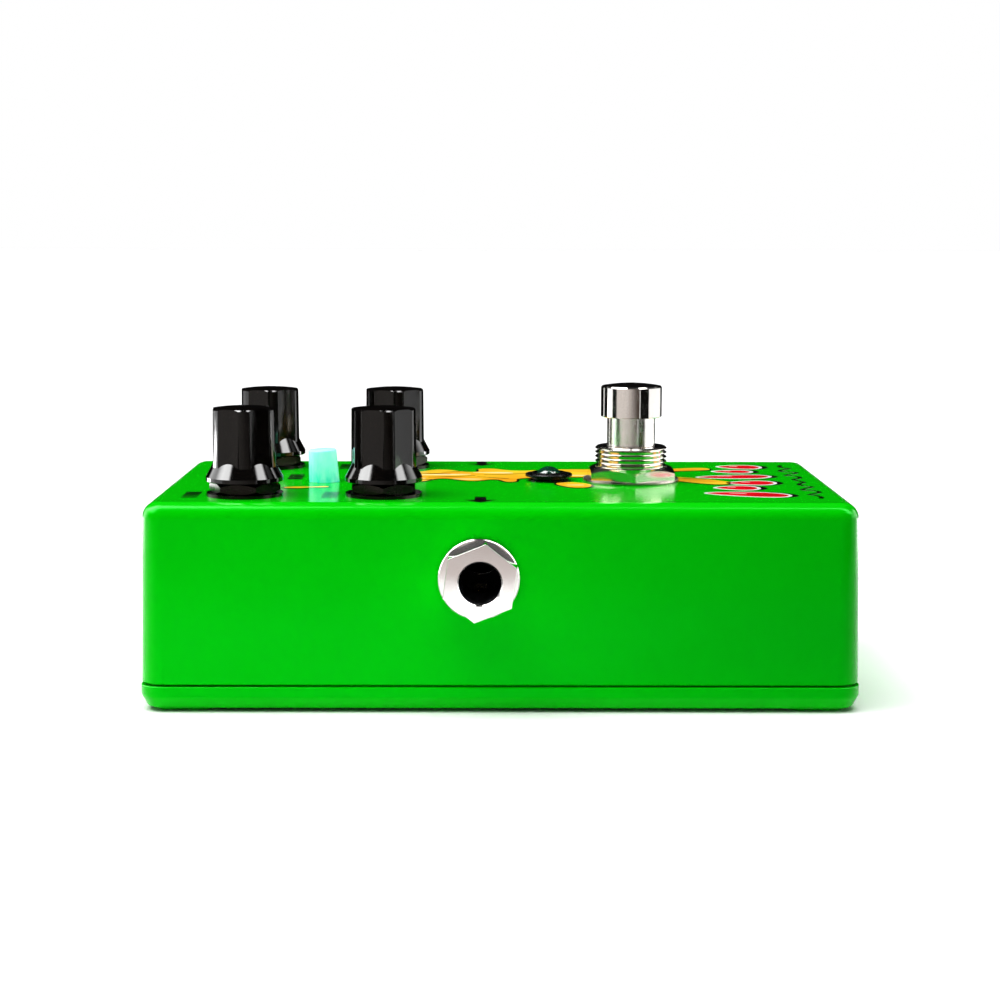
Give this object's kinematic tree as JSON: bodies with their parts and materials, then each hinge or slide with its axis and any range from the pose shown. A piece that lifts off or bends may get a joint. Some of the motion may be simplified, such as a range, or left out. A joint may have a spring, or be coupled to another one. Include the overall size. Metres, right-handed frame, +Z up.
{
  "type": "guitar effects pedal",
  "caption": "Compact cast metal guitar effects pedal with fluted knobs, a lit push button, an indicator lamp and a round footswitch on top and jacks in its sides.",
  "frame": {"origin": "centre of the plane that the pedal stands on", "axes": "+Z up out of the control panel, +Y away from the player towards the knobs, +X to the input jack's side"},
  "size_m": [0.071, 0.1128, 0.0493],
  "materials": {
    "housing_paint": "glossy bright green enamel",
    "cover_paint": "glossy bright green enamel",
    "screw_steel": "zinc plated",
    "knob_plastic": "glossy black",
    "shaft_plastic": "natural nylon",
    "pot_case": "dark green moulding",
    "black_steel": "black oxide",
    "tin": "tinned",
    "cyan_cap": "translucent cyan",
    "switch_plastic": "black moulding",
    "spring_steel": "bright wire",
    "button_lens": "clear",
    "bezel_plastic": "satin black",
    "lamp_lens": "smoky clear",
    "chrome": "bright chrome plate",
    "nickel": "bright nickel plate",
    "brass": "silvered brass",
    "phenolic": "brown phenolic board",
    "jack_plastic": "black moulding",
    "board": "green solder mask",
    "chip_epoxy": "black epoxy with tinned legs",
    "can": "bright can on a black foot",
    "resistor": "black chip with tinned ends",
    "battery_wrap": "printed foil wrap",
    "battery_stud": "nickel plate",
    "snap_vinyl": "soft black vinyl",
    "red_wire": "red insulation",
    "black_wire": "black insulation",
    "hookup_wire": "white insulation"
  },
  "bodies": {
    "case": {"housing": "housing_paint", "base_cover": "cover_paint", "cover_screws": "screw_steel", "pot_nuts": "black_steel", "pot_washers": "black_steel", "pot_terminals": "tin", "button_case": "switch_plastic", "button_spring": "spring_steel", "button_lamp": "button_lens", "button_terminals": "tin", "led_bezel": "bezel_plastic", "led_lamp": "lamp_lens", "led_leads": "tin", "footswitch_bushing": "nickel", "footswitch_nuts": "nickel", "footswitch_washer": "nickel", "footswitch_lock_washer": "nickel", "footswitch_case": "switch_plastic", "footswitch_spring": "spring_steel", "footswitch_terminal_board": "phenolic", "footswitch_terminals": "brass", "power_jack_body": "jack_plastic", "power_jack_pin": "tin", "main_board": "board", "board_chips": "chip_epoxy", "board_capacitors": "can", "board_resistors": "resistor", "battery": "battery_wrap", "battery_terminals": "battery_stud", "battery_snap": "snap_vinyl", "battery_lead_red": "red_wire", "battery_lead_black": "black_wire", "hookup_wires": "hookup_wire", "pot_body_rear_left": "pot_case", "pot_body_front_left": "pot_case", "pot_body_rear_right": "pot_case", "pot_body_front_right": "pot_case", "output_jack_nut": "nickel", "output_jack_washer": "nickel", "output_jack_body": "jack_plastic", "output_jack_contacts": "brass", "input_jack_nut": "nickel", "input_jack_washer": "nickel", "input_jack_body": "jack_plastic", "input_jack_contacts": "brass"},
    "rear_left_knob": {"knob_rear_left": "knob_plastic", "pot_shaft_rear_left": "shaft_plastic"},
    "front_left_knob": {"knob_front_left": "knob_plastic", "pot_shaft_front_left": "shaft_plastic"},
    "rear_right_knob": {"knob_rear_right": "knob_plastic", "pot_shaft_rear_right": "shaft_plastic"},
    "front_right_knob": {"knob_front_right": "knob_plastic", "pot_shaft_front_right": "shaft_plastic"},
    "footswitch_button": {"footswitch_plunger": "chrome"},
    "footswitch_toggle": {"footswitch_rocker": "shaft_plastic", "footswitch_blades": "brass"},
    "push_button": {"button_cap": "cyan_cap", "button_slider": "switch_plastic"},
    "output_tip_contact": {"output_jack_tip_spring": "brass"},
    "input_tip_contact": {"input_jack_tip_spring": "brass"}
  },
  "joints": [
    {"name": "rear_left_turn", "type": "hinge", "parent": "case", "child": "rear_left_knob", "pos_m": [-0.0196, 0.0407, 0.035], "axis": [0, 0, 1], "range_deg": [-150, 150]},
    {"name": "front_left_turn", "type": "hinge", "parent": "case", "child": "front_left_knob", "pos_m": [-0.0196, 0.0186, 0.035], "axis": [0, 0, 1], "range_deg": [-150, 150]},
    {"name": "rear_right_turn", "type": "hinge", "parent": "case", "child": "rear_right_knob", "pos_m": [0.0196, 0.0407, 0.035], "axis": [0, 0, 1], "range_deg": [-150, 150]},
    {"name": "front_right_turn", "type": "hinge", "parent": "case", "child": "front_right_knob", "pos_m": [0.0196, 0.0186, 0.035], "axis": [0, 0, 1], "range_deg": [-150, 150]},
    {"name": "footswitch_press", "type": "slide", "parent": "case", "child": "footswitch_button", "axis": [0, 0, -1], "range_m": [0, 0.003], "stiffness_N_per_m": 3000, "springref_m": -0.003, "deforming": ["footswitch_spring"]},
    {"name": "footswitch_flip", "type": "hinge", "parent": "case", "child": "footswitch_toggle", "pos_m": [0, -0.022, 0.0129], "axis": [1, 0, 0], "range_deg": [-14, 0]},
    {"name": "button_press", "type": "slide", "parent": "case", "child": "push_button", "axis": [0, 0, -1], "range_m": [0, 0.0015], "stiffness_N_per_m": 600, "springref_m": -0.002, "deforming": ["button_spring"]},
    {"name": "output_tip_flex", "type": "hinge", "parent": "case", "child": "output_tip_contact", "pos_m": [-0.0237, 0.0032, 0.0258], "axis": [0, -1, 0], "range_deg": [0, 5], "stiffness_Nm_per_rad": 0.4},
    {"name": "input_tip_flex", "type": "hinge", "parent": "case", "child": "input_tip_contact", "pos_m": [0.0237, 0.0032, 0.0258], "axis": [0, 1, 0], "range_deg": [0, 5], "stiffness_Nm_per_rad": 0.4}
  ],
  "couplings": [
    {"joint": "footswitch_flip", "follows": "footswitch_press", "rad_per_m": -81.4}
  ]
}
